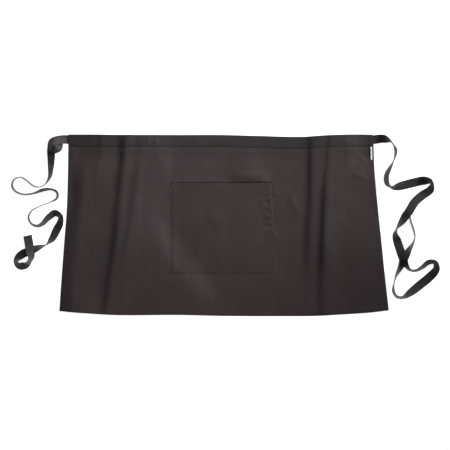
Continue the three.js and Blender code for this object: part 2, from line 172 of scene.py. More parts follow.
# Storage creases from the waist to the hem. Each is a step up to the right, spread over soft, which falls
# away again over fall. across is a share of half the hem's width, and height a share of the crease's own.
CREASES = [
    {"height": 3.2, "fall": 40, "rows": [
        {"down": 0, "across": -0.75, "height": 1, "soft": 3.5},
        {"down": 0.12, "across": -0.762, "height": 0.8, "soft": 4},
        {"down": 0.22, "across": -0.775, "height": 0.5, "soft": 5},
        {"down": 0.42, "across": -0.79, "height": 0, "soft": 6},
    ]},
    {"height": 7.8, "fall": 60, "rows": [
        {"down": 0, "across": -0.612, "height": 0.9, "soft": 4.6},
        {"down": 0.12, "across": -0.618, "height": 1.2, "soft": 4.6},
        {"down": 0.375, "across": -0.648, "height": 1, "soft": 5},
        {"down": 0.55, "across": -0.662, "height": 1.1, "soft": 5},
        {"down": 0.81, "across": -0.705, "height": 0.85, "soft": 4.6},
        {"down": 1, "across": -0.73, "height": 0.6, "soft": 4.6},
    ]},
    {"height": 4, "fall": 80, "rows": [
        {"down": 0, "across": -0.505, "height": 0.7, "soft": 6},
        {"down": 0.12, "across": -0.52, "height": 1, "soft": 5.5},
        {"down": 0.375, "across": -0.562, "height": 1, "soft": 4.6},
        {"down": 0.55, "across": -0.587, "height": 0.9, "soft": 4.6},
        {"down": 0.64, "across": -0.61, "height": 0.8, "soft": 5},
        {"down": 0.78, "across": -0.63, "height": 0, "soft": 5},
    ]},
    {"height": 6.8, "fall": 200, "rows": [
        {"down": 0, "across": 0.52, "height": 0.95, "soft": 3.8},
        {"down": 0.12, "across": 0.519, "height": 1.2, "soft": 3.8},
        {"down": 0.375, "across": 0.515, "height": 1.1, "soft": 3.8},
        {"down": 0.5, "across": 0.505, "height": 1.05, "soft": 4.2},
        {"down": 0.64, "across": 0.5, "height": 0.85, "soft": 5},
        {"down": 0.81, "across": 0.505, "height": 0.2, "soft": 5},
        {"down": 1, "across": 0.515, "height": 0, "soft": 5},
    ]},
    {"height": 6.6, "fall": 130, "rows": [
        {"down": 0, "across": 0.636, "height": 0.45, "soft": 2.6},
        {"down": 0.12, "across": 0.626, "height": 0.55, "soft": 2.6},
        {"down": 0.25, "across": 0.61, "height": 0.9, "soft": 2.8},
        {"down": 0.375, "across": 0.6, "height": 1.35, "soft": 3.5},
        {"down": 0.64, "across": 0.59, "height": 1.5, "soft": 4.2},
        {"down": 0.81, "across": 0.586, "height": 0.9, "soft": 4.6},
        {"down": 1, "across": 0.583, "height": 0.4, "soft": 4.6},
    ]},
]
# The creases and the margin fade out where the ties run into the waistband: over this stretch from its ends,
# and over this share of the way down
TIE_CLEAR = (8, 80)
TIE_CLEAR_DOWN = (0.09, 0.28)
# The left margin stands up by a share of MARGIN_HEIGHT, between two places inward from the edge
MARGIN_HEIGHT = 8.4
MARGIN_FADE = 150
MARGIN = [
    {"down": 0, "share": 0.5, "start": 8, "end": 80},
    {"down": 0.12, "share": 0.4, "start": 5, "end": 60},
    {"down": 0.22, "share": 0.95, "start": 2, "end": 52},
    {"down": 0.35, "share": 1, "start": 2, "end": 48},
    {"down": 0.5, "share": 1, "start": -10, "end": 40},
    {"down": 0.75, "share": 0.85, "start": -12, "end": 34},
    {"down": 1, "share": 1.5, "start": -12, "end": 46},
]
# Slanted waves: the middle of the crest, its run in degrees from +X, half its length, how far its sides
# reach to the left and to the right of its run, and the height
WAVES = [
    {"x": -146, "y": -114, "turn": -55, "half": 225, "left": 74, "right": 230, "height": 6},
    {"x": 372, "y": 150, "turn": 42, "half": 70, "left": 26, "right": 34, "height": 1.1},
    {"x": 352, "y": 195, "turn": 60, "half": 50, "left": 22, "right": 22, "height": 0.6},
]
# They fade out over this stretch inward from the pocket's edges, the upper one taken this far over its mouth
WAVE_FADE = (-30, 90)
WAVE_OVER_MOUTH = 30
# Low swells: the middle, the reach across and along, the turn in degrees and the height
SWELLS = [
    {"x": -178, "y": 178, "across": 48, "along": 75, "turn": -12, "height": 1.8},
    {"x": 420, "y": -120, "across": 110, "along": 190, "turn": 0, "height": 3},
    {"x": 191, "y": 61, "across": 17, "along": 48, "turn": 26, "height": 0.9},
    {"x": 378, "y": 183, "across": 9, "along": 24, "turn": 51, "height": 0.7},
    {"x": 372, "y": 136, "across": 10, "along": 30, "turn": 68, "height": 0.7},
    {"x": -27, "y": 20, "across": 28, "along": 46, "turn": 43, "height": 0.8},
]
# Wrinkles where the cloth is caught in a seam, in the same columns: at the pocket's right and left edges, in
# the left hem and on the waistband
WRINKLES = [
    {"x": 112, "y": 86, "across": 12, "along": 5, "turn": 8, "height": 0.9},
    {"x": 142, "y": 88, "across": 12, "along": 6, "turn": 14, "height": 1},
    {"x": 117, "y": 62, "across": 12, "along": 9, "turn": 0, "height": -1},
    {"x": 122, "y": 39, "across": 9, "along": 6, "turn": 0, "height": -0.8},
    {"x": 120, "y": 24, "across": 12, "along": 6, "turn": -6, "height": 0.9},
    {"x": 121, "y": -3, "across": 16, "along": 7, "turn": 5, "height": -0.9},
    {"x": 140, "y": -24, "across": 7, "along": 14, "turn": 0, "height": 0.7},
    {"x": -151, "y": -95, "across": 6, "along": 18, "turn": 0, "height": 0.5},
    {"x": -150, "y": 96, "across": 8, "along": 12, "turn": 20, "height": 0.6},
    {"x": -416, "y": 208, "across": 11, "along": 4.5, "turn": 6, "height": 0.9},
    {"x": -417, "y": 196, "across": 10, "along": 4.5, "turn": -5, "height": 1},
    {"x": -415, "y": 184, "across": 12, "along": 4.5, "turn": 10, "height": 1},
    {"x": -418, "y": 173, "across": 9, "along": 4, "turn": -8, "height": 0.8},
    {"x": -209, "y": 232, "across": 6, "along": 15, "turn": 14, "height": 0.8},
    {"x": -187, "y": 231, "across": 7, "along": 14, "turn": 20, "height": 0.7},
]
# The cloth stands up along the pocket's mouth: the left and right end, how softly each ends, the height of
# the lip right at the mouth and how far up it fades, and the rise behind it with its crest and fade
BULGE_COLUMNS = ("left", "right", "starts", "ends", "lip", "over", "rise", "crest", "fade")
MOUTH_BULGES = [dict(zip(BULGE_COLUMNS, row)) for row in (
    (-147, -118, 6, 14, 0.9, 14, 0, 6, 14),
    (-135, 40, 40, 60, 1.2, 24, 0.5, 20, 80),
    (0, 134, 50, 30, 2.6, 44, 2.8, 24, 120),
)]
# Between these heights over the mouth the cloth drops into the pocket
MOUTH_DROP = (0.4, 2.6)
# Soft ripples all over the cloth, longer down it than across. The level keeps the lowest on the surface.
RIPPLE_HEIGHT = 0.5
RIPPLE_LEVEL = 1.5

# The ties' routes: out is beyond the waistband's end and down is below the tie's own level there.
# roll turns the tape about its run: 0 lies flat, 90 stands on edge, and the left edge is up when positive.
# lift is the height of its lower edge over the surface.
CURL_RADIUS = 11
CURL_OUT = 36
CURL_DOWN = 18
CURL_TURN = 400
CURL_WIDENING = 3
CURL_LIFT = 11
CURL_ROLL = 38
CURL_START_ROLL = 18
CURL_END_ROLL = 16
CURL_STEPS = 10
LEFT_TIE_EXIT = [{"out": 15, "down": 0, "roll": 7, "lift": 4}]
ROUTE_COLUMNS = ("out", "down", "roll", "lift")
LEFT_TIE_ROUTE = [dict(zip(ROUTE_COLUMNS, row)) for row in (
    (47, 28.5, 14, 0), (47, 47.5, 24, 0), (47.5, 75.5, 42, 0), (50.5, 102.5, 60, 0),
    (61.5, 121.5, 78, 0), (78.5, 131, 83, 0), (94.5, 127.5, 83, 0), (113.5, 113, 83, 0),
    (131, 103.5, 82, 0), (148, 110, 76, 0), (154, 126.5, 71, 0), (145, 142, 75, 0),
    (122.5, 151, 81, 0), (94.5, 148, 80, 0), (69.5, 139, 71, 0), (46.5, 137, 76, 0),
    (30.5, 145.5, 71, 0), (30, 160.5, 71, 0), (49.5, 173, 82, 0), (79.5, 184, 83, 0),
    (101, 197.5, 77, 0), (108.5, 215.5, 73, 0), (100, 232, 74, 0), (84.5, 238, 72, 0),
    (70.5, 232, 64, 0), (53.5, 214, 50, 0), (36, 202.5, 42, 0), (20.5, 212, 54, 0),
    (22, 228.5, 36, 0), (32.5, 249.5, 20, 0), (44.5, 273.5, 40, 0), (61, 290, 80, 0),
    (80.5, 297.5, 50, 0), (101.5, 305, 21, 0), (129, 317, 18, 0), (143.5, 335.5, 54, 0),
    (133.5, 347.5, 36, 0), (119, 346, 34, 0), (107, 336.5, 66, 1), (100, 324.5, 52, 9),
    (103, 306.5, 14, 18.5), (107.5, 286.5, 2, 10), (112.5, 264, 0, 0.5),
)]
RIGHT_TIE_ROUTE = [dict(zip(ROUTE_COLUMNS, row)) for row in (
    (18.5, -2.5, 14, 1), (33.5, -1.5, 38, 0), (50, 7.5, 88, 0), (61, 27.5, 76, 0),
    (60, 42, 80, 0), (55, 58.5, 88, 0), (46, 76.5, 72, 0), (37, 94.5, 62, 0),
    (35, 110.5, 60, 0), (38, 121, 63, 0), (47.5, 130, 78, 0), (62.5, 129.5, 40, 0),
    (85.5, 124.5, 8, 0), (113.5, 117.5, 4, 0), (138.5, 112.5, 14, 0), (154.5, 113.5, 58, 0),
    (160.5, 123.5, 70, 0), (156.5, 137.5, 34, 0), (132.5, 154.5, 14, 3), (112.5, 172.5, 16, 9),
    (97, 196.5, 20, 16), (86.5, 211, 26, 12), (75.5, 228, 52, 3), (63, 246, 84, 0),
    (60.5, 259.5, 60, 0), (64.5, 276, 26, 2), (72.5, 303, 10, 14), (80.5, 326, 18, 14),
    (88, 344.5, 52, 5), (99.5, 357.5, 76, 0), (116, 359.5, 70, 0), (134, 350, 58, 0),
    (151, 337, 52, 0), (168.5, 337, 62, 0), (173, 355, 46, 0), (152.5, 379.5, 10, 0),
    (128, 399.5, 10, 0), (102, 420, 38, 0), (81.5, 433, 72, 0), (63, 430, 70, 0),
    (54.5, 413.5, 66, 0), (57, 392.5, 79, 0), (63, 371.5, 68, 0), (74, 350.5, 44, 0),
    (85.5, 325, 12, 0), (97.5, 302.5, 46, 0), (107.5, 286.5, 68, 0), (113.5, 268.5, 77, 0),
    (110.5, 249, 72, 0), (104, 229.5, 72, 0), (99.5, 213.5, 71, 0), (97.5, 203, 66, 0),
)]


# Shared helpers
def lerp(a, b, t):
    return a + (b - a) * t


def share(value, start, end):
    return min(1, max(0, (value - start) / (end - start)))


def ease(value, start, end):
    t = share(value, start, end)
    return t * t * (3 - 2 * t)


def flank(distance):
    """0 well before a place and 1 well past it, with the distance counted in softnesses."""
    return 1 / (1 + math.exp(-max(-40, min(40, distance))))


def read(table, key, column, at):
    """A column of a table at a place between its rows, on a smooth curve through them."""
    row = 1
    while row < len(table) - 1 and table[row][key] < at:
        row += 1

    def slope(i):
        before = table[max(i - 1, 0)]
        after = table[min(i + 1, len(table) - 1)]
        return (after[column] - before[column]) / (after[key] - before[key])

    a, b = table[row - 1], table[row]
    span = b[key] - a[key]
    t = share(at, a[key], b[key])
    t2, t3 = t * t, t * t * t
    return (
        a[column] * (2 * t3 - 3 * t2 + 1)
        + b[column] * (3 * t2 - 2 * t3)
        + slope(row - 1) * span * (t3 - 2 * t2 + t)
        + slope(row) * span * (t3 - t2)
    )


def ripple(x, y, size, seed):
    """Smooth waves from -1 to 1, about size across."""
    return noise.noise(Vector((x / size, y / size, seed)))


# The outline of the apron
def left_edge(down):
    return WAIST_LEFT + (-HALF_HEM - WAIST_LEFT) * read(SIDES, "down", "left", down)


def right_edge(down):
    return WAIST_RIGHT + (HALF_HEM - WAIST_RIGHT) * read(SIDES, "down", "right", down)


def upper_edge(across):
    return TOP - WAIST_DIP * max(0, read(EDGES, "across", "dip", across))


def lower_edge(across):
    return BOTTOM + HEM_RISE * max(0, read(EDGES, "across", "rise", across))


def down_at(y):
    return share(y, TOP, BOTTOM)


def across_at(x):
    return share(x, WAIST_LEFT, WAIST_RIGHT)


def band_lower(x):
    return upper_edge(across_at(x)) - BAND_DEPTH


# The shape that the lowest layer of cloth lies in
def crease_height(crease, x, down):
    rows = crease["rows"]
    height = crease["height"] * max(0, read(rows, "down", "height", min(down, rows[-1]["down"])))
    past = x - HALF_HEM * read(rows, "down", "across", down)
    soft = read(rows, "down", "soft", down)
    return height * flank(past / soft) * math.exp(-max(0, past) / crease["fall"])


def wave_height(wave, x, y):
    turn = math.radians(wave["turn"])
    dx, dy = x - wave["x"], y - wave["y"]
    along = (dx * math.cos(turn) + dy * math.sin(turn)) / wave["half"]
    past = dy * math.cos(turn) - dx * math.sin(turn)
    beside = past / wave["left"] if past > 0 else past / wave["right"]
    return wave["height"] * max(0, 1 - along * along) ** 2 * max(0, 1 - beside * beside) ** 2


def swell_height(swell, x, y):
    turn = math.radians(swell["turn"])
    dx, dy = x - swell["x"], y - swell["y"]
    along = (dy * math.cos(turn) - dx * math.sin(turn)) / swell["along"]
    beside = (dx * math.cos(turn) + dy * math.sin(turn)) / swell["across"]
    inside = max(0, 1 - along * along) * max(0, 1 - beside * beside)
    return swell["height"] * inside * inside


def mouth_height(x, y):
    """The cloth over the pocket's mouth, which drops into the pocket along the mouth."""
    over = y - POCKET_TOP
    if over <= 0:
        return 0
    height = 0
    for bulge in MOUTH_BULGES:
        left, right, crest = bulge["left"], bulge["right"], bulge["crest"]
        window = ease(x, left, left + bulge["starts"]) * ease(x, right, right - bulge["ends"])
        lip = ease(over, *MOUTH_DROP) * (1 - ease(over, MOUTH_DROP[1], bulge["over"]))
        broad = 1 - share(abs(2 * x - left - right), 0, right - left) ** 2
        rise = ease(over, 0, crest) * (1 - ease(over, crest, bulge["fade"]))
        height += bulge["lip"] * window * lip + bulge["rise"] * broad * broad * rise
    return height


def beside_pocket(x, y):
    """1 beside the pocket, fading to 0 inside its seams."""
    bottom = POCKET_TOP - POCKET_HEIGHT
    right = POCKET_LEFT + POCKET_WIDTH + POCKET_FLARE * share(y, POCKET_TOP, bottom)
    inside = min(x - POCKET_LEFT, right - x, y - bottom, POCKET_TOP + WAVE_OVER_MOUTH - y)
    return 1 - ease(inside, *WAVE_FADE)


def margin_height(x, down):
    inward = max(0, x - left_edge(down))
    height = MARGIN_HEIGHT * max(0, read(MARGIN, "down", "share", down))
    start, end = read(MARGIN, "down", "start", down), read(MARGIN, "down", "end", down)
    return height * ease(inward, start, end) * math.exp(-inward / MARGIN_FADE)


def beside_ties(x, down):
    """0 at the waistband's ends, where the ties run into it, and 1 away from them."""
    from_end = min(x - WAIST_LEFT, WAIST_RIGHT - x)
    return 1 - (1 - ease(from_end, *TIE_CLEAR)) * (1 - ease(down, *TIE_CLEAR_DOWN))


def lie(x, y):
    """The height of the lowest layer of cloth over the surface."""
    down = down_at(y)
    height = sum(crease_height(crease, x, down) for crease in CREASES) + margin_height(x, down)
    height *= beside_ties(x, down)
    height += sum(wave_height(wave, x, y) for wave in WAVES) * beside_pocket(x, y)
    height += sum(swell_height(swell, x, y) for swell in (*SWELLS, *WRINKLES))
    height += mouth_height(x, y)
    broad = ripple(x, y * 0.45, 46, 1.3) + 0.5 * ripple(x, y * 0.6, 19, 4.1)
    return height + RIPPLE_HEIGHT * (RIPPLE_LEVEL + broad)


# The cloth's hems, seams and surfaces
def hem_places(x, y):
    """How far a point lies from the nearer side edge and from the lower edge."""
    down = down_at(y)
    side = min(x - left_edge(down), right_edge(down) - x)
    along = share(x, left_edge(down), right_edge(down))
    return side, y - lower_edge(along)


def near(distance, place, reach):
    """1 at a place, falling to 0 on both sides of it."""
    return math.exp(-(((distance - place) / reach) ** 2))


def hem_profile(distance, width):
    """The relief of a turned hem, which ends in a soft step, with the dimple along its stitches."""
    lift = TURNED * (1 - ease(distance, width - 2, width + 2.5))
    return lift - DIMPLE * near(distance, width - STITCH_INSET, DIMPLE_REACH)


def puckers(distance, run, width, seed):
    """Small ripples across a row of stitches."""
    reach = near(distance, width - STITCH_INSET, PUCKER_REACH)
    return PUCKER_HEIGHT * reach * ripple(run, 0, PUCKER_SIZE, seed)


def panel_under(x, y):
    step = CLOTH + GAP
    under_band = ease(y, band_lower(x) - BAND_EASE, band_lower(x) - 4 * GAP)
    return lie(x, y) + step * under_band


def panel_cloth(x, y):
    """How thick the panel is, with its turned hems, their stitches and puckers."""
    side, bottom = hem_places(x, y)
    below = ease(band_lower(x) - y, *HEM_BELOW_BAND)
    relief = max(hem_profile(side, HEM_SIDE), hem_profile(bottom, HEM_BOTTOM))
    relief += puckers(side, y, HEM_SIDE, seed=2.7) + puckers(bottom, x, HEM_BOTTOM, seed=7.7)
    return CLOTH + relief * below


def panel_over(x, y):
    return panel_under(x, y) + panel_cloth(x, y)


def band_pressed(above):
    """How far the band's front layer is pressed down, at a height above its lower edge."""
    return BAND_PRESSED * (1 - share(above, 0, BAND_PRESS_REACH)) ** 2


def band_over(x, y):
    return lie(x, y) + 2 * FOLD_REACH - band_pressed(y - band_lower(x))


def rounded(distance, reach):
    """From near 0 at an edge to 1 at reach inward, as a rounded edge falls."""
    t = share(distance, 0, reach)
    return max(THINNEST, math.sqrt(t * (2 - t)))


# Meshes
def make_object(name, vertices, faces, flat=None):
    mesh = bpy.data.meshes.new(name)
    mesh.from_pydata([tuple(value * MM for value in vertex) for vertex in vertices], [], faces)
    if flat:
        layer = mesh.uv_layers.new(name="flat")
        for loop in mesh.loops:
            place = flat[loop.vertex_index]
            layer.data[loop.index].uv = (place[0] * MM, place[1] * MM)
    mesh.shade_smooth()
    mesh.update()
    obj = bpy.data.objects.new(name, mesh)
    bpy.context.scene.collection.objects.link(obj)
    return obj


def wall(name, us, vs, place, lay_flat):
    """A closed sheet over a grid: place(u, v) gives a point of its lower and of its upper face."""
    sides = [place(u, v) for u in us for v in vs]
    vertices = [pair[0] for pair in sides] + [pair[1] for pair in sides]
    across = len(vs)
    layer = len(sides)
    rows, columns = len(us) - 1, across - 1

    def at(i, j, upper):
        return upper * layer + i * across + j

    faces = []
    for i in range(rows):
        for j in range(columns):
            faces.append((at(i, j, 1), at(i, j + 1, 1), at(i + 1, j + 1, 1), at(i + 1, j, 1)))
            faces.append((at(i, j, 0), at(i + 1, j, 0), at(i + 1, j + 1, 0), at(i, j + 1, 0)))
    for i in range(rows):
        faces.append((at(i, 0, 0), at(i, 0, 1), at(i + 1, 0, 1), at(i + 1, 0, 0)))
        faces.append((at(i, columns, 0), at(i + 1, columns, 0), at(i + 1, columns, 1), at(i, columns, 1)))
    for j in range(columns):
        faces.append((at(0, j, 0), at(0, j + 1, 0), at(0, j + 1, 1), at(0, j, 1)))
        faces.append((at(rows, j, 0), at(rows, j, 1), at(rows, j + 1, 1), at(rows, j + 1, 0)))
    flat = [lay_flat(u, v) for u in us for v in vs] * 2
    return make_object(name, vertices, faces, flat)


def steps_between(start, end, step):
    count = max(1, round((end - start) / step))
    return [lerp(start, end, i / count) for i in range(count)]


# Panel: its columns and rows lie closer together at the edges, the hems' stitches and the pocket's mouth
EDGE_STEPS = [0, 0.3, 0.8, 1.5, 3, 5.5, 8]
MOUTH_STEPS = [-4.2, -3.2, -2.4, -1.6, -0.8, 0, 1]


def mirrored(places, width):
    """The same places counted from the other end."""
    return [width - place for place in reversed(places)]


def hem_steps(width):
    row = width - STITCH_INSET
    return [*EDGE_STEPS, row - 1.2, row - 0.4, row + 0.4, row + 1.2, width, width + 1.2, width + 3.5]


def make_panel():
    side = hem_steps(HEM_SIDE)
    middle = steps_between(side[-1] + CELL, WAIST_WIDTH - side[-1], CELL)
    us = [at / WAIST_WIDTH for at in (*side, *middle, *mirrored(side, WAIST_WIDTH))]
    bottom = hem_steps(HEM_BOTTOM)
    inset = FOLD_REACH + 2 * GAP
    notch = TAPE_INSET + TAPE_WIDTH / 2 + 3 * GAP
    notch_length = TAPE_ROOT + 6 * GAP
    under_band = [inset, notch + GAP, BAND_DEPTH - 1, BAND_DEPTH + 0.5]
    middle = steps_between(BAND_DEPTH + 2.5, LENGTH - bottom[-1], CELL)
    mouth = [TOP - POCKET_TOP + step for step in MOUTH_STEPS]
    middle = [at for at in middle if not mouth[0] - 1 < at < mouth[-1] + 1]
    rows = sorted([*under_band, *middle, *mouth]) + mirrored(bottom, LENGTH)

    def place(u, row):
        from_end = min(u, 1 - u) * WAIST_WIDTH
        top = upper_edge(u)
        start = notch if row == inset and from_end < notch_length else row
        y = lerp(top, lower_edge(u), start / LENGTH)
        down = (top - y) / (top - lower_edge(u))
        x = lerp(left_edge(down), right_edge(down), u)
        z = panel_under(x, y)
        thick = panel_cloth(x, y)
        edge = min(from_end, LENGTH - row)
        return (x, y, z), (x, y, z + thick * rounded(edge, EDGE_ROUND))

    def lay_flat(u, row):
        return lerp(left_edge(row / LENGTH), right_edge(row / LENGTH), u), -row

    return wall("panel_cloth", us, rows, place, lay_flat)


# Waistband: one strip folded over the panel's upper edge. Its rows are counted up from its lower edge.
BAND_STEPS = [0, 0.3, 0.9, 1.6, 2.2, 2.9, 4.2, 6.5, 9, 10.4, 11, 11.6, 13, 17, 22, 27]
BAND_END_STEPS = [0, 0.4, 1.2, 2.5, 3.5, 4.5]
BAND_ARC_STEPS = 10
BAND_ROUND = 1.2


def band_relief(x, above, end):
    """The relief of the band's front layer: the dimples along its stitches, and the puckers between them."""
    depth = DIMPLE * (0.4 + 0.6 * ripple(x, 0, 60, 3.6))
    height = -sum(depth * near(above, row, DIMPLE_REACH) for row in BAND_ROWS)
    height -= DIMPLE * near(end, BAND_END_ROW, DIMPLE_REACH)
    return height + 0.25 * near(above, 6, PUCKER_REACH) * ripple(x, 0, 7, 9.4)


def make_waistband():
    lowers = [BAND_DEPTH - step for step in BAND_STEPS]
    section = [(down, 0) for down in lowers]
    section += [(FOLD_REACH, 180 * i / BAND_ARC_STEPS) for i in range(BAND_ARC_STEPS + 1)]
    section += [(down, 180) for down in reversed(lowers)]
    last = BAND_END_STEPS[-1]
    middle = steps_between(last + 3, WAIST_WIDTH - last, CELL)
    us = [at / WAIST_WIDTH for at in (*BAND_END_STEPS, *middle, *mirrored(BAND_END_STEPS, WAIST_WIDTH))]

    def place(u, index):
        down, turn = section[index]
        angle = math.radians(turn)
        x = lerp(WAIST_LEFT, WAIST_RIGHT, u)
        end = min(u, 1 - u) * WAIST_WIDTH
        above = BAND_DEPTH - down
        front = turn > 90
        thin = rounded(min(end, above if down > FOLD_REACH else BAND_DEPTH), BAND_ROUND)
        points = []
        for outer in (0, 1):
            radius = BAND_RADIUS + (outer - 0.5) * CLOTH * thin
            y = upper_edge(u) - down + radius * math.sin(angle)
            z = lie(x, y) + FOLD_REACH - radius * math.cos(angle)
            if outer and front:
                z -= band_pressed(above)
            if outer and turn >= 90:
                z += band_relief(x, above, end)
            points.append((x, y, max(0, z)))
        return tuple(points)

    def lay_flat(u, index):
        down, turn = section[index]
        side = -1 if turn < 90 else 1
        return lerp(WAIST_LEFT, WAIST_RIGHT, u), side * down

    return wall("waistband_cloth", us, range(len(section)), place, lay_flat)


# Pocket: sewn down along three edges, standing open at its mouth
def pocket_place(u, v):
    return POCKET_LEFT + (POCKET_WIDTH + POCKET_FLARE * v) * u, POCKET_TOP - POCKET_HEIGHT * v


def pocket_arch(u, v):
    """How high the pocket stands off the panel."""
    inner = share(u, POCKET_SEAM / POCKET_WIDTH, 1 - POCKET_SEAM / POCKET_WIDTH)
    deep = share(v, 0, 1 - POCKET_SEAM / POCKET_HEIGHT)
    across = ease(inner, 0, 0.4) * (1 - inner) ** 1.2
    return POCKET_ROOM * across * (1 - deep * deep) ** 1.5


def pocket_relief(u, v):
    """The pocket's seams, mouth hem and puckers."""
    side = min(u, 1 - u) * (POCKET_WIDTH + POCKET_FLARE * v)
    top = v * POCKET_HEIGHT
    bottom = (1 - v) * POCKET_HEIGHT
    across = u * POCKET_WIDTH
    right = POCKET_WIDTH - across
    height = TURNED * (1 - ease(top, POCKET_HEM - 2, POCKET_HEM + 2))
    # The sewn border and the lower rim, which the stitches catch unevenly
    caught = (0.5 + ripple(across, top, 26, 6.1)) * ease(right, 0, 20)
    height += 0.15 * caught * (1 - ease(min(side, bottom), POCKET_SEAM - 3, POCKET_SEAM + 3))
    height += 0.5 * max(0, ripple(across, 0, 21, 2.4)) * near(bottom, 2.5, 3)
    # The dimples along the stitches, fainter at the sides
    for distance, row, depth in (
        (side, POCKET_ROW, 0.2 if right < 20 else 0.7),
        (bottom, POCKET_ROW, 1),
        (bottom, POCKET_SECOND_ROW, 1),
        (top, POCKET_HEM - STITCH_INSET, 1),
    ):
        height -= DIMPLE * depth * near(distance, row, DIMPLE_REACH)
    # The crumpled upper part of the right seam, and the puckers along the sides and the lower edge
    crumple = near(right, 0, 16) * ease(top, 12, 20) * (1 - ease(top, 110, 150))
    height += 0.5 * crumple * (0.5 + ripple(right * 0.4, top, 9, 3.3))
    height += 0.25 * near(side, 0, 8) * ripple(0, top, 6, 5.5)
    height += 0.25 * near(bottom, 0, 9) * ripple(across, 0, 6, 8.5)
    return height


def pocket_under(u, v):
    return panel_over(*pocket_place(u, v)) + LAID + pocket_arch(u, v)


def pocket_cloth(u, v):
    """How thick the pocket is: thinner towards its sewn edges, and thinnest along the right one."""
    side = min(u, 1 - u) * (POCKET_WIDTH + POCKET_FLARE * v)
    rim = 0.3 + 0.5 * ease(min(side, (1 - v) * POCKET_HEIGHT), 0, 12)
    rim = min(rim, 0.05 + 0.75 * share((1 - u) * POCKET_WIDTH, 0, 60))
    return CLOTH * rim + pocket_relief(u, v)


def pocket_over(u, v):
    return pocket_under(u, v) + pocket_cloth(u, v)


# The pocket's columns and rows, from its edges inward
POCKET_SIDE_STEPS = [0, 0.3, 0.9, 1.4, 2, 2.6, 3.6, 6, 8.5, 10, 11.2]
POCKET_TOP_STEPS = [0, 0.3, 0.9, 1.6, 4, 7, 10, 13, 16, 19, 21, 22.2, 23, 23.8, 25, 26.2]
POCKET_BOTTOM_STEPS = [0, 0.3, 0.9, 1.4, 2, 2.6, 4, 6.5, 8.4, 9.1, 9.9, 10.6, 12]
POCKET_CELL = 2.8
POCKET_ROUND = 1.3


def make_pocket():
    side, top, bottom = POCKET_SIDE_STEPS, POCKET_TOP_STEPS, POCKET_BOTTOM_STEPS
    width, height = POCKET_WIDTH, POCKET_HEIGHT
    middle = steps_between(side[-1] + 2.3, width - side[-1], POCKET_CELL)
    us = [at / width for at in (*side, *middle, *mirrored(side, width))]
    middle = steps_between(top[-1] + 2.3, height - bottom[-1], POCKET_CELL)
    vs = [at / height for at in (*top, *middle, *mirrored(bottom, height))]

    def place(u, v):
        x, y = pocket_place(u, v)
        under = pocket_under(u, v)
        edge = min(u * width, (1 - u) * width * 4, (1 - v) * height)
        return (x, y, under), (x, y, under + pocket_cloth(u, v) * rounded(edge, POCKET_ROUND))

    return wall("pocket_cloth", us, vs, place, pocket_place)


# Ties: flat tape along the routes
TIE_FINENESS = 8  # steps between two points of a route
TIE_COLUMNS = [1, 0.97, 0.86, 0.45, 0, -0.45, -0.86, -0.97, -1]  # as shares of half the tape's width


def spline(points, place, even=False):
    """A point of a Catmull-Rom curve through points, with place counted in points from the first."""
    last = len(points) - 1
    index = min(int(place), last - 1)
    t = place - index
    p1, p2 = points[index], points[index + 1]
    p0 = points[index - 1] if index > 0 else p1 * 2 - p2
    p3 = points[index + 2] if index + 2 <= last else p2 * 2 - p1
    if even:
        start, end = (p2 - p0) / 2, (p3 - p1) / 2
    else:
        t1 = (p2 - p1).length ** 0.5 or 1
        t0 = (p1 - p0).length ** 0.5 or t1
        t2 = (p3 - p2).length ** 0.5 or t1
        start = ((p1 - p0) / t0 - (p2 - p0) / (t0 + t1) + (p2 - p1) / t1) * t1
        end = ((p2 - p1) / t1 - (p3 - p1) / (t1 + t2) + (p3 - p2) / t2) * t1
    t2, t3 = t * t, t * t * t
    through = p1 * (2 * t3 - 3 * t2 + 1) + p2 * (3 * t2 - 2 * t3)
    return through + start * (t3 - 2 * t2 + t) + end * (t3 - t2)


def curl_rows():
    """The curl beside the waistband: one turn and a bit, inner edge up, sinking under its beginning."""
    rows = []
    for i in range(CURL_STEPS + 1):
        turned = i / CURL_STEPS * CURL_TURN
        angle = math.radians(90 + turned)
        fresh = 1 - ease(turned, 0, 90)
        leaving = ease(turned, 220, CURL_TURN)
        roll = CURL_ROLL - (CURL_ROLL - CURL_START_ROLL) * fresh - (CURL_ROLL - CURL_END_ROLL) * leaving
        rows.append({
            "out": CURL_OUT - CURL_RADIUS * math.cos(angle),
            "down": CURL_DOWN - CURL_RADIUS * math.sin(angle) - CURL_WIDENING * fresh,
            "roll": roll,
            "lift": CURL_LIFT * (1 - ease(turned, 170, 320)),
        })
    return rows


